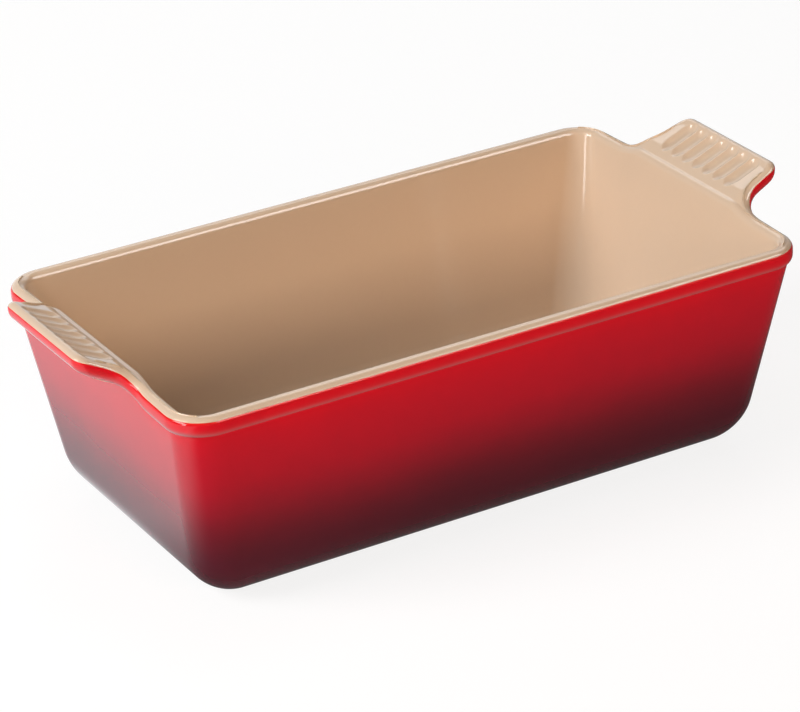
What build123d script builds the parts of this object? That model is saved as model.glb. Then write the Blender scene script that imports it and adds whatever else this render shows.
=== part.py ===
from build123d import *
import math
import os

# Stoneware loaf pan with two integral, fluted lug handles.
# Millimetres, +Z up, origin at the centre of the foot plane, +X along the length.

# ---- driving dimensions -------------------------------------------------
RIM_L = 244.0          # outside length of the rim, handles not counted
RIM_W = 141.0          # outside width of the rim
RIM_H = 78.8           # height of the flat part of the rim above the foot
RIM_R = 14.0           # outside plan corner radius of the rim
BAND_H = 6.5           # height of the rolled band below the rim
BAND_STEP = 1.5        # how far the band stands out of the wall
BASE_L = 219.2         # wall planes at foot level, before the lower edge is rounded
BASE_W = 114.4
BASE_R = 15.6
HEEL_R = 16.0          # rounding between wall and underside
WALL_TOP = 6.4         # wall thickness at the rim
WALL_LOW = 6.6         # wall thickness at floor level
FLOOR_T = 6.8          # floor thickness
CAV_R_TOP = 8.5       # inside plan corner radius at the rim
CAV_R_LOW = 13.0
CAV_HEEL = 11.0        # rounding between wall and floor, inside
FOOT_W = 5.0           # width of the unglazed foot ring
FOOT_RECESS = 0.8      # underside panel, set up from the foot plane
LUG_OUT = 17.9         # handle reach beyond the rim end
LUG_HALF = 28.3        # half width of the handle at its tip
LUG_NECK = 31.0        # half width where it leaves the rim
LUG_TIP_R = 5.5        # plan corner radius at the tip
LUG_NECK_R = 8.5      # concave plan radius at the neck
LUG_T = 7.0            # handle thickness at the tip
RISE_RIM = 4.3         # the rim end lifts by this into the handle
RISE_LUG = 8.1         # the handle climbs by this from rim end to tip
GLAZE = 0.45           # thickness of the glaze coats
FLUTES = 7
FLUTE_PITCH = 6.5
FLUTE_R = 4.4
FLUTE_DEPTH = 1.1

A = RIM_L / 2
B = RIM_W / 2


def smooth(t):
    t = max(0.0, min(1.0, t))
    return t * t * (3 - 2 * t)


def rise(x, y):
    ax, ay = abs(x), abs(y)
    lift = RISE_RIM * smooth((44.5 - ay) / 16.5) ** 1.4 * smooth((ax - (A - 6)) / 8)
    s = max(0.0, (ax - (A - 2)) / (LUG_OUT + 2))
    return lift + RISE_LUG * s * smooth((58 - ay) / 20)


def z_top(x, y, off):
    return RIM_H + rise(x, y) + off


def z_bot(x, y, off):
    s = max(0.0, min(1.0, (abs(x) - (A - 2)) / (LUG_OUT + 2)))
    return RIM_H - BAND_H + rise(x, y) + (BAND_H - LUG_T) * s - off


def below(zf, off):
    """Solid of everything under the height field zf, over more than the plan."""
    xs = [-150, -144, -139, -134, -129, -126, -123, -120.5, -118, -115.5, -112, -108, -100,
          -80, -50, 0, 50, 80,
          100, 108, 112, 115.5, 118, 120.5, 123, 126, 129, 134, 139, 144, 150]
    ys = [-85, -70, -64, -60, -56, -52, -48, -44, -40, -36, -32, -28, -24, -18, -9, 0,
          9, 18, 24, 28, 32, 36, 40, 44, 48, 52, 56, 60, 64, 70, 85]
    pts = [[Vector(x, y, zf(x, y, off)) for y in ys] for x in xs]
    f = Face.make_surface_from_array_of_points(pts, tol=0.02, min_deg=3, max_deg=3)
    return extrude(f, amount=140, dir=(0, 0, -1))


def rrect(hx, hy, r, z):
    return Pos(0, 0, z) * RectangleRounded(2 * hx, 2 * hy, r)


def plan(off):
    """Plan outline of the rim with both handles, grown by off."""
    a, b = A + off, B + off
    tip = A + LUG_OUT + off
    wn, wt = LUG_NECK + off, LUG_HALF + off
    pts = [(a, -b), (a, -wn), (tip, -wt), (tip, wt), (a, wn), (a, b),
           (-a, b), (-a, wn), (-tip, wt), (-tip, -wt), (-a, -wn), (-a, -b)]
    f = make_face(Polyline(*pts, close=True))
    v = f.vertices()

    def near(px, py):
        return v.sort_by(lambda q: (abs(q.X) - px) ** 2 + (abs(q.Y) - py) ** 2)[0:4]

    f = fillet(near(tip, wt), LUG_TIP_R + off)
    v = f.vertices()
    f = fillet(near(a, wn), LUG_NECK_R - off)
    v = f.vertices()
    f = fillet(near(a, b), RIM_R + off)
    return f


def basin(off):
    """Drafted tub without band: walls, rounded lower edge, foot plane."""
    zb = RIM_H - BAND_H / 2
    k = zb / (RIM_H - BAND_H)
    la = BASE_L / 2 + (A - BAND_STEP - BASE_L / 2) * k
    lb = BASE_W / 2 + (B - BAND_STEP - BASE_W / 2) * k
    lr = BASE_R + (RIM_R - BAND_STEP - BASE_R) * k
    low = rrect(BASE_L / 2 + off, BASE_W / 2 + off, BASE_R + off, -off)
    top = rrect(la + off, lb + off, lr + off, zb)
    s = loft([low, top], ruled=True)
    e = s.faces().sort_by(Axis.Z)[0].edges()
    return fillet(e, HEEL_R + off)


def outer(off):
    rim = extrude(Pos(0, 0, RIM_H - 30) * plan(off), amount=60)
    rim = (rim & below(z_top, off)) - below(z_bot, off)
    s = basin(off) + rim
    return s


def cavity(off):
    """Inside space, off > 0 makes it larger."""
    z0 = FLOOR_T - off
    z1 = RIM_H + 6
    k = (z1 - FLOOR_T) / (RIM_H - FLOOR_T)
    a0, b0 = BASE_L / 2 - WALL_LOW, BASE_W / 2 - WALL_LOW
    a1, b1 = A - WALL_TOP, B - WALL_TOP
    low = rrect(a0 + off, b0 + off, CAV_R_LOW + off, z0)
    top = rrect(a0 + (a1 - a0) * k + off, b0 + (b1 - b0) * k + off,
                CAV_R_LOW + (CAV_R_TOP - CAV_R_LOW) * k + off, z1)
    s = loft([low, top], ruled=True)
    e = s.faces().sort_by(Axis.Z)[0].edges()
    return fillet(e, CAV_HEEL + off)


def flutes(off):
    """Scoops in the top of both handles, off > 0 makes them larger."""
    x0, x1 = A + 1.2, A + LUG_OUT - 5.7
    r = FLUTE_R + off
    tools = []
    for i in range(FLUTES):
        y = (i - (FLUTES - 1) / 2) * FLUTE_PITCH
        za = z_top(x0, y, 0) + FLUTE_R - FLUTE_DEPTH * 0.7
        zb = z_top(x1, y, 0) + FLUTE_R - FLUTE_DEPTH
        length = math.hypot(x1 - x0, zb - za)
        d = Vector(x1 - x0, 0, zb - za)
        c = Plane(origin=(x0, y, za), z_dir=d) * Cylinder(
            r, length, align=(Align.CENTER, Align.CENTER, Align.MIN))
        t = c + Pos(x0, y, za) * Sphere(r) + Pos(x1, y, zb) * Sphere(r)
        tools += [t, mirror(t, about=Plane.YZ)]
    return tools


def recess(depth, off):
    a = BASE_L / 2 - HEEL_R * 0.86 - FOOT_W + off
    b = BASE_W / 2 - HEEL_R * 0.86 - FOOT_W + off
    return extrude(rrect(a, b, 6 + off, -1), amount=1 + depth)


def cut_all(s, tools):
    for t in tools:
        s = s - t
    return s


g = GLAZE
print("outer")
full = cut_all(outer(0) - cavity(0), flutes(0)) - recess(FOOT_RECESS, 0)
core = cut_all(outer(-g) - cavity(g), flutes(g))
print(full.volume, core.volume, len(full.solids()), len(core.solids()))

# foot ring: bare clay down to z = 0
fa = BASE_L / 2 - HEEL_R * 0.857 + 3.0
fb = BASE_W / 2 - HEEL_R * 0.857 + 3.0
ring = extrude(rrect(fa, fb, 5.0, 0), amount=2.0)
body = (core + (ring & full)) - recess(FOOT_RECESS + g, 0)
print("body", body.volume, len(body.solids()))

shell = full - body

# parting between the light liner and the outside colour: the middle of the wall,
# and a line 2 mm down on the outside of the rim
mid = cavity(3.2)
m2 = below(z_top, -2.0)
print("shell", shell.volume, len(shell.solids()))
inside_a = shell & mid
rest = shell - mid
inside_b = rest - m2
outside = rest & m2
liner = inside_a + inside_b
pan = extrude(rrect(BASE_L / 2 - 8, BASE_W / 2 - 8, 8, -1), amount=4.0)
under = outside & extrude(rrect(fa - 5, fb - 5, 5, -1), amount=4.0)
outside = outside - extrude(rrect(fa - 5, fb - 5, 5, -1), amount=4.0)
print("liner", liner.volume, len(liner.solids()), "outside", outside.volume,
      len(outside.solids()), "under", under.volume, len(under.solids()))

os.makedirs("parts", exist_ok=True)
for name, s in (("stoneware_body", body), ("interior_glaze", liner),
                ("exterior_glaze", outside), ("base_glaze", under)):
    sol = s.solids()
    s = sol[0] if len(sol) == 1 else Compound(children=list(sol))
    export_step(s, f"parts/{name}.step")
    print(name, round(s.volume), s.bounding_box())
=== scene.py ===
import bpy
import math
import numpy as np
from mathutils import Matrix, Vector


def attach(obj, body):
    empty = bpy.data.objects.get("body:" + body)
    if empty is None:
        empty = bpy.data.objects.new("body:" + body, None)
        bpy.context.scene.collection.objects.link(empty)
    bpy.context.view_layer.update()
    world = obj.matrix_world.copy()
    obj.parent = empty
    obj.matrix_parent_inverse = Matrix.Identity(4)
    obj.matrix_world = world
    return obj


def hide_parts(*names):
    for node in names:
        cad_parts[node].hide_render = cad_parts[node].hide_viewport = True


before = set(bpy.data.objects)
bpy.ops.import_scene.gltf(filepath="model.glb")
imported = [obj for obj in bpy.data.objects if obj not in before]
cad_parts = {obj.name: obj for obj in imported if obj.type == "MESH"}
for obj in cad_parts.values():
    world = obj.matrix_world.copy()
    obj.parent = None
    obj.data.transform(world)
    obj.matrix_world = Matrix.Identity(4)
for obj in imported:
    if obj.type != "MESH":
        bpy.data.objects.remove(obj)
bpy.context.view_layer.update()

# ------------------------------------------------------------------ sizes (mm)
A, B, H = 122.0, 70.5, 78.8          # half rim length, half rim width, rim height
R = 14.0                             # rim plan corner radius
BAND = 6.5                           # band height
LUG_OUT, LUG_HALF, LUG_NECK = 17.7, 28.3, 31.0
LUG_TIP_R, LUG_NECK_R, LUG_T = 5.5, 8.5, 7.0
RISE_RIM, RISE_LUG = 4.3, 8.0
BASE_A, BASE_B, BASE_R = 109.6, 57.2, 15.6
WALL_A, WALL_B = A - 1.5, B - 1.5    # wall planes at the band's lower edge
ZW = H - BAND
HEEL = 17.0
WTA, WTB, WL, FLOOR = 5.7, 6.2, 6.6, 6.8
CAVR_TOP, CAVR_LOW, CAV_HEEL = 8.0, 13.0, 11.0
SHX, SHZ = 3.0, 2.6                  # outer shoulder of the rim, across and down
SHX_L, SHZ_L = 2.6, 1.9              # the same on the handles
ROLL = 3.0                           # inner roll-over radius
GLZ = 0.45
COL_DROP = 1.15                      # colour line, below the top of the shoulder
FOOT_IN_A, FOOT_IN_B = 90.84, 38.44  # inner edge of the foot ring
LIFT0, LIFTW = 9.0, 11.0


def smooth(t):
    t = np.clip(t, 0.0, 1.0)
    return t * t * (3 - 2 * t)


def softpos(v, k):
    """max(v, 0) with a rounded corner of width k"""
    return 0.5 * (v + np.sqrt(v * v + k * k)) - 0.0


def rise(x, y):
    ax, ay = np.abs(x), np.abs(y)
    lift = RISE_RIM * smooth((44.5 - ay) / 16.5) ** 1.4 * smooth((ax - (A - LIFT0)) / LIFTW)
    s = (softpos(ax - (A - 2), 2.0) - softpos(-(LUG_OUT + 2), 2.0)) / (LUG_OUT + 2)
    s = np.where(ax < A - 14, 0, s)
    return lift + RISE_LUG * s * smooth((58 - ay) / 20)


def ztop(x, y):
    return H + rise(x, y)


# ------------------------------------------------------------------ plan stations
def arc(cx, cy, r, a0, a1, n):
    t = np.radians(np.linspace(a0, a1, n))
    return np.c_[cx + r * np.cos(t), cy + r * np.sin(t)], t


def half_end():
    """Stations of the quarter from (0, -B) to (A + LUG_OUT, 0).
    Returns kind, parameter and the outer outline with its normals."""
    P, N, K, U = [], [], [], []
    # long side, finer towards the corner
    n = 46
    t = np.linspace(0, 1, n, endpoint=False)
    t = t ** 0.9
    x = (A - R) * t
    P += [(v, -B) for v in x]; N += [(0, -1)] * n; K += [0] * n; U += list(t)
    # corner
    n = 26
    q, ang = arc(A - R, -(B - R), R, -90, 0, n)
    P += q[:-1].tolist(); N += [(math.cos(v), math.sin(v)) for v in ang[:-1]]
    K += [1] * (n - 1); U += list((ang[:-1] + math.pi / 2) / (math.pi / 2))
    # rim end, neck, handle side, tip corner, tip edge
    v1 = np.array([A, -LUG_NECK]); v2 = np.array([A + LUG_OUT, -LUG_HALF])
    d = (v2 - v1) / np.linalg.norm(v2 - v1)
    turn = math.acos(d[1])
    tn = LUG_NECK_R * math.tan(turn / 2); tt = LUG_TIP_R * math.tan(turn / 2)
    ys = np.linspace(-(B - R), -LUG_NECK - tn, 15, endpoint=False)
    end = [((A, y), (1, 0)) for y in ys]
    cx, cy = A + LUG_NECK_R, -LUG_NECK - tn
    for a in np.linspace(0, turn, 22, endpoint=False):
        end.append(((cx - LUG_NECK_R * math.cos(a), cy + LUG_NECK_R * math.sin(a)),
                    (math.cos(a), -math.sin(a))))
    p0, p1 = v1 + d * tn, v2 - d * tt
    nd = (d[1], -d[0])
    for s in np.linspace(0, 1, 9, endpoint=False):
        end.append((tuple(p0 + (p1 - p0) * s), nd))
    cx, cy = A + LUG_OUT - LUG_TIP_R, -LUG_HALF + tt
    for a in np.linspace(-turn, 0, 18, endpoint=False):
        end.append(((cx + LUG_TIP_R * math.cos(a), cy + LUG_TIP_R * math.sin(a)),
                    (math.cos(a), math.sin(a))))
    y0 = cy
    m = int(round(-y0 / 0.5))
    for y in np.linspace(y0, 0, m, endpoint=False):
        end.append(((A + LUG_OUT, y), (1, 0)))
    pe = np.array([e[0] for e in end]); ne = np.array([e[1] for e in end])
    # y of the same stations on the plain outline
    yn = pe[:, 1].copy()
    i0 = 15; i1 = 15 + 22 + 9 + 18
    s = np.r_[0, np.cumsum(np.linalg.norm(np.diff(pe, axis=0), axis=1))]
    ya = -LUG_NECK - tn
    yn[i0:i1] = ya + (y0 - ya) * (s[i0:i1] - s[i0]) / (s[i1] - s[i0])
    P += pe.tolist(); N += ne.tolist(); K += [2] * len(pe)
    U += list(yn / (B - R))          # -1 .. 0 along the straight end
    P.append((A + LUG_OUT, 0)); N.append((1, 0)); K.append(2); U.append(0.0)
    return np.array(P, float), np.array(N, float), np.array(K), np.array(U, float)


P4, N4, K4, U4 = half_end()


def full(V, sx=1, sy=1):
    """Unfold the quarter to the whole loop, counter-clockwise from (0, -B)."""
    q1 = V                                   # (0,-B) .. (tip,0)
    q2 = V[:-1][::-1] * np.array([1, -1])    # up to (0,B)
    h = np.vstack([q1, q2])                  # right half
    g = (h[::-1] * np.array([-1, 1]))        # left half, top to bottom
    return np.vstack([h, g[1:-1]])


PE, NE = full(P4), full(N4)
n_st = len(PE)


def plain_ring(a, b, r):
    """Rounded rectangle with the same stations."""
    a = float(a); b = float(b); r = float(max(r, 0.4))
    Q = np.zeros_like(P4)
    k0, k1, k2 = K4 == 0, K4 == 1, K4 == 2
    Q[k0] = np.c_[(a - r) * U4[k0], np.full(k0.sum(), -b)]
    th = -math.pi / 2 + U4[k1] * math.pi / 2
    Q[k1] = np.c_[a - r + r * np.cos(th), -(b - r) + r * np.sin(th)]
    Q[k2] = np.c_[np.full(k2.sum(), a), U4[k2] * (b - r)]
    return full(Q)


PP = plain_ring(A, B, R)
NPL = np.zeros_like(P4)
k0, k1, k2 = K4 == 0, K4 == 1, K4 == 2
NPL[k0] = (0, -1)
th = -math.pi / 2 + U4[k1] * math.pi / 2
NPL[k1] = np.c_[np.cos(th), np.sin(th)]
NPL[k2] = (1, 0)
NP = full(NPL)
EAR = np.linalg.norm(PE - PP, axis=1)
TAU = smooth(EAR / 9.0)


def wall_ring(z):
    t = z / ZW
    return plain_ring(BASE_A + (WALL_A - BASE_A) * t, BASE_B + (WALL_B - BASE_B) * t,
                      BASE_R + (R - 1.5 - BASE_R) * t)


def wall_ring_v(z):
    """Wall outline at a height that differs from station to station."""
    lo, hi = wall_ring(0.0), wall_ring(ZW)
    return lo + (hi - lo) * (np.asarray(z) / ZW)[:, None]


def cav_dims(z):
    t = (z - FLOOR) / (H - FLOOR)
    return (BASE_A - WL + (A - WTA - BASE_A + WL) * t, BASE_B - WL + (B - WTB - BASE_B + WL) * t,
            CAVR_LOW + (CAVR_TOP - CAVR_LOW) * smooth(t * 1.05))


def row(xy, z):
    z = np.broadcast_to(z, (n_st,))
    return np.c_[xy, z]


# ------------------------------------------------------------------ flutes
N_FL, PITCH, FL_W, FL_D = 7, 6.55, 6.3, 1.6
FL_X0, FL_X1 = A - 0.3, A + LUG_OUT - 3.1


def flute_depth(x, y):
    ax = np.abs(x)
    d = np.zeros_like(ax)
    for i in range(N_FL):
        yc = (i - (N_FL - 1) / 2) * PITCH
        v = (y - yc) / (FL_W / 2)
        root = np.clip(((FL_X0 + 4.6) - ax) / 4.6, 0, 2)
        tip = np.clip((ax - (FL_X1 - 3.0)) / 3.0, 0, 2)
        q = v * v + root ** 2 + tip ** 2
        d = np.maximum(d, FL_D * np.clip(1 - q, 0, 1) ** 0.95)
    return d


# ------------------------------------------------------------------ rows
def top_point(xy):
    x, y = xy[:, 0], xy[:, 1]
    return ztop(x, y)


SX = SHX + (SHX_L - SHX) * TAU
SZ = SHZ + (SHZ_L - SHZ) * TAU
PHI_C = np.degrees(np.arccos(1 - COL_DROP / SZ))


def shoulder(phi):
    """Outer shoulder row at angle phi (deg, one per station) from the top."""
    s, c = np.sin(np.radians(phi)), np.cos(np.radians(phi))
    xy = PE - NE * (SX * (1 - s))[:, None]
    ref = PE - NE * (SX * 0.5)[:, None]
    return row(xy, top_point(ref) - SZ * (1 - c))


def liner_rows():
    rows = []
    for t in np.linspace(1, 0, 9):
        rows.append(shoulder(PHI_C * t))
    outer_xy = PE - NE * SX[:, None]
    inner_xy = plain_ring(A - WTA + ROLL, B - WTB + ROLL, CAVR_TOP + ROLL)
    zo = shoulder(PHI_C * 0)[:, 2]
    nt = 58
    for k in range(1, nt):
        t = k / nt
        xy = outer_xy + (inner_xy - outer_xy) * t
        z = top_point(xy)
        # blend the shoulder's reference height in and out
        z = z + (zo - top_point(outer_xy)) * (1 - smooth(t * 6))
        z = z - flute_depth(xy[:, 0], xy[:, 1])
        rows.append(row(xy, z))
    zi = top_point(inner_xy)
    rows.append(row(inner_xy, zi))
    draft = math.degrees(math.atan2((A - WTA) - (BASE_A - WL), H - FLOOR))
    last = 90 - draft
    for phi in np.linspace(0, last, 11)[1:]:
        s, c = math.sin(math.radians(phi)), math.cos(math.radians(phi))
        o = ROLL * (1 - s)
        xy = plain_ring(A - WTA + o, B - WTB + o, CAVR_TOP + o)
        rows.append(row(xy, zi - ROLL * (1 - c)))
    z_end = zi - ROLL * (1 - math.cos(math.radians(last)))
    xy_end = rows[-1][:, :2]
    zh = FLOOR + CAV_HEEL * (1 - math.sin(math.radians(draft)))
    a, b, r = cav_dims(zh)
    xyh = plain_ring(a, b, r)
    for t in np.linspace(0, 1, 17)[1:]:
        z = z_end + (zh - z_end) * t
        hz = (np.clip(H - z, 0, None) / (H - zh))
        xy = xy_end + (xyh - xy_end) * t
        rows.append(row(xy, z))
    for th in np.linspace(0, 90 - draft, 12)[1:]:
        # heel arc, tangent to the wall and to the floor
        ang = math.radians(draft + th)
        ins = CAV_HEEL * (math.cos(math.radians(draft)) - math.cos(ang))
        z = FLOOR + CAV_HEEL * (1 - math.sin(ang))
        rows.append(row(plain_ring(a - ins, b - ins, max(r - ins * 0.9, 2.2)), z))
    last_xy = rows[-1][:, :2]
    for s in (0.93, 0.84, 0.72, 0.58, 0.43, 0.28, 0.14, 0.05):
        rows.append(row(last_xy * s, FLOOR))
    return rows


def red_rows():
    rows = []
    for t in np.linspace(0, 1, 8):
        rows.append(shoulder(PHI_C + (90 - PHI_C) * t))
    ztr = top_point(PE - NE * (SX * 0.5)[:, None])
    T = BAND + (LUG_T - BAND) * TAU                # band height / handle thickness
    rh = 1.15 + (4.6 - 1.15) * TAU                 # lower edge rounding
    rv = 2.1 + (4.4 - 2.1) * TAU
    z_lo = ztr - T
    z_a = ztr - SZ
    z_b = z_lo + rv
    for t in (0.33, 0.66, 1.0):
        bul = 0.10 * math.sin(math.pi * t)
        rows.append(row(PE + NE * 0.0, z_a + (z_b - z_a) * t))
    for th in np.linspace(0, 90, 9)[1:]:
        s, c = math.sin(math.radians(th)), math.cos(math.radians(th))
        rows.append(row(PE - NE * (rh * (1 - c))[:, None], z_b - rv * s))
    edge = rows[-1][:, :2]
    # underside to the wall
    zt_edge = top_point(edge)

    def under(xy):
        # under the flutes the surface keeps the handle's thickness all the way in
        return z_lo + np.minimum(top_point(xy) - zt_edge, 0.0) * TAU * smooth((27.8 - np.abs(edge[:, 1])) / 4.5)

    w0 = wall_ring_v(np.minimum(z_lo - 2.0, ZW + 6))
    Wd = np.linalg.norm(edge - w0, axis=1)
    F = 0.85 * np.minimum(Wd, 5.5)
    Fv = np.maximum(2.0, np.minimum(Wd, 4.5))
    zw = under(w0) - Fv
    w1 = wall_ring_v(zw)
    Wd = np.maximum(np.linalg.norm(edge - w1, axis=1), 0.05)
    F = 0.85 * np.minimum(Wd, 5.5)
    dirv = (w1 - edge)
    for j in range(1, 7):
        h = (Wd - F) * j / 6
        xy = edge + dirv * (h / Wd)[:, None]
        rows.append(row(xy, under(xy)))
    for th in np.linspace(0, 90, 10)[1:]:
        s, c = math.sin(math.radians(th)), math.cos(math.radians(th))
        h = (Wd - F) + F * s
        xy = edge + dirv * (h / Wd)[:, None]
        rows.append(row(xy, under(xy) - Fv * (1 - c)))
    # wall
    zt = rows[-1][:, 2]
    for t in np.linspace(0, 1, 22)[1:]:
        z = zt + (HEEL - zt) * t
        rows.append(row(wall_ring_v(z), z))
    # heel
    for th in np.linspace(0, 90, 22)[1:]:
        ang = math.radians(th)
        z = HEEL * (1 - math.sin(ang))
        if z < 0.30:
            break
        ins = HEEL * (1 - math.cos(ang))
        tt = z / ZW
        a = BASE_A + (WALL_A - BASE_A) * tt - ins
        b = BASE_B + (WALL_B - BASE_B) * tt - ins
        r = BASE_R + (R - 1.5 - BASE_R) * tt - ins
        rows.append(row(plain_ring(a, b, max(r, 1.6)), z))
    return rows


LINER = liner_rows()
RED = red_rows()
# the left handle came out of the mould a little shorter
for _r in LINER + RED:
    _t = smooth((-_r[:, 0] - (A + 3.0)) / 12.0)
    _r[:, 0] += 1.5 * _t
print("stations", n_st, "liner rows", len(LINER), "red rows", len(RED))


# ------------------------------------------------------------------ mesh building
def ring_mesh(name, rows, cap_centre=None, thick=GLZ, flip=False):
    """A closed shell: the rows as the visible surface, its copy set back by thick."""
    V = np.vstack(rows)
    m = len(rows)
    i = np.arange(n_st)
    j = (i + 1) % n_st
    F = []
    for k in range(m - 1):
        a, b = k * n_st, (k + 1) * n_st
        F.append(np.c_[a + i, a + j, b + j, b + i])
    F = np.vstack(F)
    tri = None
    if cap_centre is not None:
        c = len(V)
        V = np.vstack([V, [cap_centre]])
        a = (m - 1) * n_st
        tri = np.c_[a + i, a + j, np.full(n_st, c)]
    if flip:
        F = F[:, ::-1]
        if tri is not None:
            tri = tri[:, ::-1]
    # vertex normals
    Nn = np.zeros_like(V)
    for Q in ([F, tri] if tri is not None else [F]):
        p = V[Q]
        nn = np.cross(p[:, 1] - p[:, 0], p[:, 2] - p[:, 0])
        if Q.shape[1] == 4:
            nn = np.cross(p[:, 2] - p[:, 0], p[:, 3] - p[:, 1])
        for q in range(Q.shape[1]):
            np.add.at(Nn, Q[:, q], nn)
    Nn /= np.maximum(np.linalg.norm(Nn, axis=1), 1e-12)[:, None]
    n0 = len(V)
    W = V - Nn * thick
    allV = np.vstack([V, W])
    faces = F.tolist() + (F[:, ::-1] + n0).tolist()
    if tri is not None:
        faces += tri.tolist() + (tri[:, ::-1] + n0).tolist()

    def stitch(base, rev):
        a, b = base + i, base + j
        q = np.c_[a, a + n0, b + n0, b] if not rev else np.c_[a, b, b + n0, a + n0]
        return q.tolist()

    faces += stitch(0, flip)
    if tri is None:
        faces += stitch((m - 1) * n_st, not flip)
    me = bpy.data.meshes.new(name)
    me.from_pydata((allV * 0.001).tolist(), [], faces)
    me.polygons.foreach_set("use_smooth", np.ones(len(me.polygons), dtype=bool))
    me.update()
    ob = bpy.data.objects.new(name, me)
    bpy.context.scene.collection.objects.link(ob)
    return ob


liner = ring_mesh("liner_glaze_coat", LINER, cap_centre=(0, 0, FLOOR))
red = ring_mesh("outer_glaze_coat", RED, flip=True)
# painted highlight along the band's lower edge, row by row (stronger on the left-facing side, weaker on the handles),
# and how thin the glaze has run at the colour line
_k = np.repeat(np.arange(len(RED)), n_st).astype(float)
_tau = np.tile(TAU, len(RED))
_edge_highlight = np.exp(-((_k - 14.0) / 3.0) ** 2) * (1 - 0.5 * _tau) * (1 + 0.8 * np.tile(np.clip(-NE[:, 0], 0, 1), len(RED)))
_line = np.exp(-(_k / 3.0) ** 2)
for _n, _v in (("band_edge_painted_highlight", _edge_highlight), ("line_thin", _line)):
    _at = red.data.attributes.new(_n, "FLOAT", "POINT")
    _at.data.foreach_set("value", np.concatenate([_v, _v]).astype(np.float32))


# ------------------------------------------------------------------ body and underside
def body_rows():
    """Clay surface rows: copies of the liner rows in reverse order, floor first."""
    rows = []
    rows += [r.copy() for r in LINER[::-1]]
    return rows


def clay_mesh():
    def inset(rows, flip):
        V = np.vstack(rows)
        m = len(rows)
        i = np.arange(n_st); j = (i + 1) % n_st
        F = np.vstack([np.c_[k * n_st + i, k * n_st + j, (k + 1) * n_st + j, (k + 1) * n_st + i]
                       for k in range(m - 1)])
        p = V[F]
        nn = np.cross(p[:, 2] - p[:, 0], p[:, 3] - p[:, 1])
        Nn = np.zeros_like(V)
        for q in range(4):
            np.add.at(Nn, F[:, q], nn)
        Nn /= np.maximum(np.linalg.norm(Nn, axis=1), 1e-12)[:, None]
        if flip:
            Nn = -Nn
        return (V - Nn * (GLZ + 0.02)).reshape(m, n_st, 3)

    Li = inset(LINER, False)
    Re = inset(RED, True)
    # centre of floor outward, over the rim, down the wall
    seq = [Li[k] for k in range(len(Li) - 1, 0, -2)] + [Li[0]]
    seq += [Re[k] for k in range(1, len(Re), 1)]
    # foot ring, then the recessed underside
    last = RED[-1]
    z_last = last[0, 2]

    def ringz(a, b, r, z):
        return row(plain_ring(a, b, r), z)
    aa = float(last[:, 0].max()); bb = float(last[:, 1].max())
    seq.append(last.copy())
    for ins, z in ((1.2, 0.16), (2.6, 0.04), (4.0, 0.0), (6.0, 0.0)):
        if aa - ins > FOOT_IN_A + 1:
            seq.append(ringz(aa - ins, bb - ins, 2.0, z))
    seq.append(ringz(FOOT_IN_A + 1.4, FOOT_IN_B + 1.4, 7.4, 0.0))
    seq.append(ringz(FOOT_IN_A + 0.6, FOOT_IN_B + 0.6, 6.8, 0.08))
    seq.append(ringz(FOOT_IN_A + 0.15, FOOT_IN_B + 0.15, 6.3, 0.35))
    seq.append(ringz(FOOT_IN_A, FOOT_IN_B, 6.2, 0.75))
    seq.append(ringz(FOOT_IN_A - 0.1, FOOT_IN_B - 0.1, 6.1, 1.25))
    last_xy = seq[-1][:, :2]
    for s in (0.8, 0.5, 0.2, 0.05):
        seq.append(row(last_xy * s, 1.25))
    V = np.vstack(seq)
    m = len(seq)
    i = np.arange(n_st); j = (i + 1) % n_st
    F = np.vstack([np.c_[k * n_st + i, k * n_st + j, (k + 1) * n_st + j, (k + 1) * n_st + i]
                   for k in range(m - 1)])
    c0, c1 = len(V), len(V) + 1
    V = np.vstack([V, [[0, 0, Li[-1][0, 2]]], [[0, 0, 1.25]]])
    t0 = np.c_[i, np.full(n_st, c0), j]
    a = (m - 1) * n_st
    t1 = np.c_[a + i, a + j, np.full(n_st, c1)]
    me = bpy.data.meshes.new("stoneware_clay")
    faces = F.tolist() + t0[:, ::-1].tolist() + t1.tolist()
    faces = [f[::-1] for f in F.tolist()] + t0.tolist() + t1[:, ::-1].tolist()
    me.from_pydata((V * 0.001).tolist(), [], faces)
    me.polygons.foreach_set("use_smooth", np.ones(len(me.polygons), dtype=bool))
    me.update()
    ob = bpy.data.objects.new("stoneware_clay", me)
    bpy.context.scene.collection.objects.link(ob)
    return ob


clay = clay_mesh()


def base_panel():
    rows = []
    prof = [(0.05, 0.95), (0.35, 0.84), (0.9, 0.79), (1.8, 0.78), (4, 0.78), (10, 0.79), (20, 0.80), (30, 0.80)]
    for ins, z in prof:
        rows.append(row(plain_ring(FOOT_IN_A - ins, FOOT_IN_B - ins, max(6.2 - ins * 0.3, 2)), z))
    last = rows[-1][:, :2]
    for s in (0.7, 0.4, 0.12):
        rows.append(row(last * s, 0.80))
    return ring_mesh("underside_glaze_panel", rows, cap_centre=(0, 0, 0.80), thick=0.40, flip=True)


panel = base_panel()

for ob, node, slot in ((liner, "interior_glaze", "cream_glaze"), (red, "exterior_glaze", "red_glaze"),
                       (clay, "stoneware_body", "stoneware"), (panel, "base_glaze", "underside_glaze")):
    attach(ob, "root")
    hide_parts(node)


# ------------------------------------------------------------------ materials
def new_mat(name):
    m = bpy.data.materials.new(name)
    m.use_nodes = True
    nt = m.node_tree
    nt.nodes.clear()
    out = nt.nodes.new("ShaderNodeOutputMaterial")
    bs = nt.nodes.new("ShaderNodeBsdfPrincipled")
    nt.links.new(bs.outputs[0], out.inputs[0])
    return m, nt, bs


def node(nt, kind, **kw):
    n = nt.nodes.new(kind)
    for k, v in kw.items():
        setattr(n, k, v)
    return n


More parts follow.
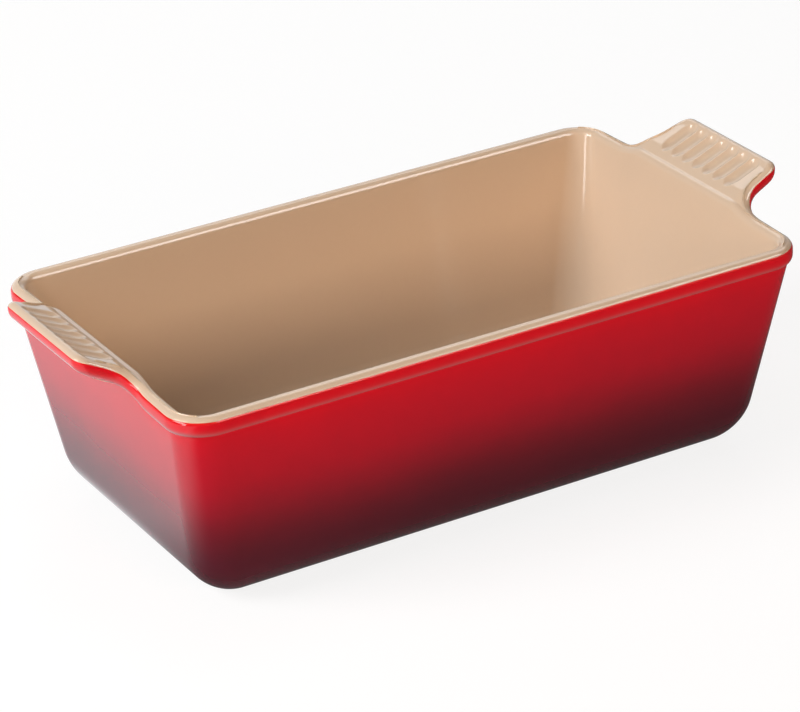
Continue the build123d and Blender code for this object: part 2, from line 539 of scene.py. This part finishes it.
def srgb(r, g, b):
    f = lambda c: (c / 255 / 12.92) if c / 255 <= 0.04045 else ((c / 255 + 0.055) / 1.055) ** 2.4
    return (f(r), f(g), f(b), 1)


def ramp(nt, stops, interp="EASE"):
    r = nt.nodes.new("ShaderNodeValToRGB")
    cr = r.color_ramp
    cr.interpolation = interp
    while len(cr.elements) > 1:
        cr.elements.remove(cr.elements[-1])
    cr.elements[0].position = stops[0][0]
    cr.elements[0].color = stops[0][1]
    for p, c in stops[1:]:
        e = cr.elements.new(p)
        e.color = c
    return r


def noise(nt, vec, scale, detail=3, rough=0.5):
    n = nt.nodes.new("ShaderNodeTexNoise")
    n.inputs["Scale"].default_value = scale
    n.inputs["Detail"].default_value = detail
    n.inputs["Roughness"].default_value = rough
    nt.links.new(vec, n.inputs["Vector"])
    return n.outputs["Fac"]


def math_node(nt, op, a, b=None, clamp=False):
    n = nt.nodes.new("ShaderNodeMath")
    n.operation = op
    n.use_clamp = clamp
    for i, v in enumerate((a, b)):
        if v is None:
            continue
        if isinstance(v, (int, float)):
            n.inputs[i].default_value = v
        else:
            nt.links.new(v, n.inputs[i])
    return n.outputs[0]


def mix_col(nt, fac, a, b, mode="MIX"):
    n = nt.nodes.new("ShaderNodeMix")
    n.data_type = "RGBA"
    n.blend_type = mode
    for key, v in (("Factor", fac), ("A", a), ("B", b)):
        s = [q for q in n.inputs if q.name == key and (q.type == ("VALUE" if key == "Factor" else "RGBA"))][0]
        if isinstance(v, (int, float)):
            s.default_value = v
        elif isinstance(v, tuple):
            s.default_value = v
        else:
            nt.links.new(v, s)
    return [q for q in n.outputs if q.type == "RGBA"][0]


def obj_coords(nt):
    tc = nt.nodes.new("ShaderNodeTexCoord")
    sep = nt.nodes.new("ShaderNodeSeparateXYZ")
    nt.links.new(tc.outputs["Object"], sep.inputs[0])
    return tc.outputs["Object"], sep.outputs


def bump(nt, height, dist, strength=1.0, chain=None):
    b = nt.nodes.new("ShaderNodeBump")
    b.inputs["Distance"].default_value = dist
    b.inputs["Strength"].default_value = strength
    nt.links.new(height, b.inputs["Height"])
    if chain is not None:
        nt.links.new(chain, b.inputs["Normal"])
    return b.outputs[0]


def mat_red():
    m, nt, bs = new_mat("red_ombre_glaze")
    P, xyz = obj_coords(nt)
    z = xyz[2]
    big = noise(nt, P, 26.0, 2, 0.5)
    mid = noise(nt, P, 95.0, 3, 0.55)
    h = math_node(nt, "MULTIPLY", z, 1 / 0.0788)
    wob = math_node(nt, "MULTIPLY", math_node(nt, "SUBTRACT", big, 0.5), 0.07)
    fine = math_node(nt, "MULTIPLY", math_node(nt, "SUBTRACT", mid, 0.5), 0.02)
    hh = math_node(nt, "ADD", math_node(nt, "ADD", h, wob), fine)
    r = ramp(nt, [(0.0, srgb(80, 32, 44)), (0.22, srgb(82, 28, 42)), (0.36, srgb(106, 26, 40)),
                  (0.50, srgb(147, 26, 43)), (0.64, srgb(180, 22, 42)), (0.84, srgb(194, 22, 42)),
                  (1.0, srgb(226, 12, 30))], "B_SPLINE")
    nt.links.new(hh, r.inputs[0])
    mott = mix_col(nt, 0.06, r.outputs[0], mix_col(nt, mid, srgb(150, 0, 10), srgb(255, 60, 50)), "OVERLAY")
    # painted highlight: the band's lower edge is mixed towards a pale pinkish grey; the glaze runs orange at the
    # colour line
    ea = nt.nodes.new("ShaderNodeAttribute")
    ea.attribute_name = "band_edge_painted_highlight"
    edge_highlight_fac = math_node(nt, "MULTIPLY", ea.outputs["Fac"],
                    math_node(nt, "ADD", math_node(nt, "MULTIPLY", big, 0.16), 0.42))
    c1 = mix_col(nt, edge_highlight_fac, mott, srgb(168, 112, 116))
    la = nt.nodes.new("ShaderNodeAttribute")
    la.attribute_name = "line_thin"
    c2 = mix_col(nt, math_node(nt, "MULTIPLY", la.outputs["Fac"], 0.45), c1, srgb(226, 44, 12))
    nt.links.new(c2, bs.inputs["Base Color"])
    rr = math_node(nt, "ADD", math_node(nt, "MULTIPLY", mid, 0.03), 0.03)
    nt.links.new(rr, bs.inputs["Roughness"])
    bs.inputs["IOR"].default_value = 1.5
    wav = noise(nt, P, 30.0, 1, 0.4)
    pin = noise(nt, P, 900.0, 2, 0.5)
    b1 = bump(nt, wav, 0.0002, 0.2)
    b2 = bump(nt, pin, 0.000008, 0.2, b1)
    nt.links.new(b2, bs.inputs["Normal"])
    return m


def mat_cream():
    m, nt, bs = new_mat("cream_liner_glaze")
    P, xyz = obj_coords(nt)
    big = noise(nt, P, 22.0, 2, 0.5)
    speck = noise(nt, P, 420.0, 4, 0.6)
    base = mix_col(nt, big, srgb(217, 192, 167), srgb(221, 197, 173))
    col = mix_col(nt, math_node(nt, "MULTIPLY", speck, 0.06), base, srgb(186, 154, 126))
    nt.links.new(col, bs.inputs["Base Color"])
    rr = math_node(nt, "ADD", math_node(nt, "MULTIPLY", speck, 0.05), 0.055)
    nt.links.new(rr, bs.inputs["Roughness"])
    bs.inputs["IOR"].default_value = 1.5
    wav = noise(nt, P, 40.0, 1, 0.4)
    fine = noise(nt, P, 700.0, 2, 0.5)
    b1 = bump(nt, wav, 0.00012, 0.2)
    b2 = bump(nt, fine, 0.000012, 0.2, b1)
    nt.links.new(b2, bs.inputs["Normal"])
    return m


def mat_clay():
    m, nt, bs = new_mat("bare_stoneware")
    P, xyz = obj_coords(nt)
    n1 = noise(nt, P, 160.0, 5, 0.65)
    n2 = noise(nt, P, 1500.0, 3, 0.6)
    col = mix_col(nt, n1, srgb(196, 172, 142), srgb(224, 206, 180))
    col2 = mix_col(nt, math_node(nt, "GREATER_THAN", n2, 0.66), col, srgb(140, 110, 84))
    nt.links.new(col2, bs.inputs["Base Color"])
    nt.links.new(math_node(nt, "ADD", math_node(nt, "MULTIPLY", n2, 0.2), 0.7), bs.inputs["Roughness"])
    nt.links.new(bump(nt, n2, 0.0002, 0.6), bs.inputs["Normal"])
    return m


def mat_panel():
    m, nt, bs = new_mat("underside_thin_glaze")
    P, xyz = obj_coords(nt)
    n1 = noise(nt, P, 60.0, 4, 0.6)
    n2 = noise(nt, P, 800.0, 3, 0.6)
    col = mix_col(nt, n1, srgb(196, 162, 126), srgb(216, 186, 150))
    nt.links.new(col, bs.inputs["Base Color"])
    nt.links.new(math_node(nt, "ADD", math_node(nt, "MULTIPLY", n1, 0.2), 0.25), bs.inputs["Roughness"])
    nt.links.new(bump(nt, n2, 0.00008, 0.4), bs.inputs["Normal"])
    return m


red.data.materials.append(mat_red())
liner.data.materials.append(mat_cream())
clay.data.materials.append(mat_clay())
panel.data.materials.append(mat_panel())


# ------------------------------------------------------------------ floor, light, camera
def lp_world():
    """White to the camera, a soft grey sky for light and reflections."""
    w = bpy.data.worlds.new("studio")
    bpy.context.scene.world = w
    w.use_nodes = True
    nt = w.node_tree
    nt.nodes.clear()
    out = nt.nodes.new("ShaderNodeOutputWorld")
    lp = nt.nodes.new("ShaderNodeLightPath")
    a = nt.nodes.new("ShaderNodeBackground")
    a.inputs[0].default_value = (1.0, 0.985, 0.97, 1)
    a.inputs[1].default_value = WORLD
    c = nt.nodes.new("ShaderNodeBackground")
    c.inputs[1].default_value = 1.0
    g = nt.nodes.new("ShaderNodeBackground")
    tc = nt.nodes.new("ShaderNodeTexCoord")
    sp = nt.nodes.new("ShaderNodeSeparateXYZ")
    nt.links.new(tc.outputs["Generated"], sp.inputs[0])
    k = math_node(nt, "ADD", math_node(nt, "MULTIPLY", sp.outputs[0], 0.42),
                  math_node(nt, "MULTIPLY", sp.outputs[1], 0.90))
    wr = ramp(nt, [(0.0, (WORLD_GLOSS,) * 3 + (1,)), (0.50, (WORLD_GLOSS,) * 3 + (1,)),
                   (0.84, (0.55, 0.55, 0.57, 1)), (0.98, (1.2, 1.2, 1.25, 1))], "EASE")
    nt.links.new(k, wr.inputs[0])
    nt.links.new(wr.outputs[0], g.inputs[0])
    g.inputs[1].default_value = 1.0
    m1 = nt.nodes.new("ShaderNodeMixShader")
    m2 = nt.nodes.new("ShaderNodeMixShader")
    nt.links.new(lp.outputs["Is Glossy Ray"], m1.inputs[0])
    nt.links.new(a.outputs[0], m1.inputs[1])
    nt.links.new(g.outputs[0], m1.inputs[2])
    nt.links.new(lp.outputs["Is Camera Ray"], m2.inputs[0])
    nt.links.new(m1.outputs[0], m2.inputs[1])
    nt.links.new(c.outputs[0], m2.inputs[2])
    nt.links.new(m2.outputs[0], out.inputs[0])


WORLD, WORLD_GLOSS = 0.09, 0.14
lp_world()

me = bpy.data.meshes.new("floor")
S = 4.0
me.from_pydata([(-S, -S, 0), (S, -S, 0), (S, S, 0), (-S, S, 0)], [], [(0, 1, 2, 3)])
floor = bpy.data.objects.new("floor", me)
bpy.context.scene.collection.objects.link(floor)


def mat_floor():
    """Pale table. In reflections its front part is shaded, as by a dark flag in front of the set."""
    m = bpy.data.materials.new("pale_floor")
    m.use_nodes = True
    nt = m.node_tree
    nt.nodes.clear()
    out = nt.nodes.new("ShaderNodeOutputMaterial")
    d = nt.nodes.new("ShaderNodeBsdfDiffuse")
    d.inputs[0].default_value = (0.93, 0.93, 0.93, 1)
    lp = nt.nodes.new("ShaderNodeLightPath")
    P, xyz = obj_coords(nt)
    k = math_node(nt, "ADD", math_node(nt, "MULTIPLY", xyz[0], -1.0), math_node(nt, "MULTIPLY", xyz[1], 0.9))
    r = ramp(nt, [(0.0, (0.10, 0.10, 0.10, 1)), (0.5, (0.13, 0.13, 0.13, 1)), (0.66, (0.95, 0.95, 0.97, 1)), (1.0, (1.0, 1.0, 1.02, 1))], "EASE")
    nt.links.new(math_node(nt, "ADD", math_node(nt, "MULTIPLY", k, 2.2), 0.36), r.inputs[0])
    e = nt.nodes.new("ShaderNodeEmission")
    nt.links.new(r.outputs[0], e.inputs[0])
    mx = nt.nodes.new("ShaderNodeMixShader")
    nt.links.new(lp.outputs["Is Glossy Ray"], mx.inputs[0])
    nt.links.new(d.outputs[0], mx.inputs[1])
    nt.links.new(e.outputs[0], mx.inputs[2])
    # a white sweep to the camera, with only a trace of the contact shadow
    ew = nt.nodes.new("ShaderNodeEmission")
    dm = nt.nodes.new("ShaderNodeMixShader")
    dm.inputs[0].default_value = 0.80
    nt.links.new(d.outputs[0], dm.inputs[1])
    nt.links.new(ew.outputs[0], dm.inputs[2])
    ew.inputs[1].default_value = 1.06
    cx = nt.nodes.new("ShaderNodeMixShader")
    nt.links.new(lp.outputs["Is Camera Ray"], cx.inputs[0])
    nt.links.new(mx.outputs[0], cx.inputs[1])
    nt.links.new(dm.outputs[0], cx.inputs[2])
    nt.links.new(cx.outputs[0], out.inputs[0])
    return m


floor.data.materials.append(mat_floor())


def area(name, loc, target, size, power, col=(1, 1, 1), size_y=None, lit=True, seen=True):
    L = bpy.data.lights.new(name, "AREA")
    L.shape = "RECTANGLE"
    L.size = size
    L.size_y = size_y or size
    L.energy = power
    L.color = col
    o = bpy.data.objects.new(name, L)
    bpy.context.scene.collection.objects.link(o)
    o.location = loc
    o.visible_diffuse = lit      # lights the surfaces
    o.visible_glossy = seen      # shows as a highlight
    d = Vector(target) - Vector(loc)
    o.rotation_mode = "QUATERNION"
    o.rotation_quaternion = d.to_track_quat("-Z", "Y")
    return o


area("key_left", (-1.25, 0.15, 0.85), (0, 0, 0.04), 0.8, 20.0)
area("strip_back", (0.62, 1.10, 0.62), (0, 0, 0.06), 0.9, 3.2, size_y=0.18, seen=False)
area("front_mid", (-0.05, -1.25, 0.46), (0, 0, 0.05), 1.0, 7.4, (1.0, 0.74, 0.53), size_y=0.3, seen=False)
area("overhead", (0.10, 0.20, 1.25), (0, 0, 0.03), 0.5, 1.8, seen=False)
# soft boxes that only show as highlights in the glaze
area("gloss_top_a", (0.53, 0.62, 0.80), (0, 0, 0.07), 1.1, 2.5, size_y=0.34, lit=False)
area("gloss_top_b", (0.53, -0.70, 0.82), (0, 0, 0.07), 1.1, 15.0, size_y=0.50, lit=False)
area("gloss_corner", (-1.32, -0.32, 0.38), (0.1, 0.05, 0.06), 0.26, 3.2, size_y=0.60, lit=False)

# camera: solved from the perspective of the rim and base outlines
K = 0.976
AZ, EL, RO = math.radians(29.28), math.radians(25.90), math.radians(-2.56)
back = Vector((-math.sin(AZ) * math.cos(EL), -math.cos(AZ) * math.cos(EL), math.sin(EL)))
fwd = -back
right = fwd.cross(Vector((0, 0, 1))).normalized()
up = right.cross(fwd)
r_ = right * math.cos(RO) + up * math.sin(RO)
u_ = -right * math.sin(RO) + up * math.cos(RO)
C = (back * 1359.57 + r_ * (-1.160) + u_ * 7.098 + Vector((0, 0, 35.0))) * K * 0.001
cam_d = bpy.data.cameras.new("camera")
cam_d.sensor_fit = "HORIZONTAL"
cam_d.sensor_width = 36.0
cam_d.lens = 3772.56 * 36.0 / 800.0
cam_d.shift_x = -4.23 / 800.0
cam_d.shift_y = 0.83 / 800.0
cam_d.clip_start = 0.05
cam_d.clip_end = 20
cam = bpy.data.objects.new("camera", cam_d)
bpy.context.scene.collection.objects.link(cam)
cam.matrix_world = Matrix(((r_.x, u_.x, back.x, C.x), (r_.y, u_.y, back.y, C.y),
                           (r_.z, u_.z, back.z, C.z), (0, 0, 0, 1)))
bpy.context.scene.camera = cam
bpy.context.scene.view_settings.view_transform = "Standard"
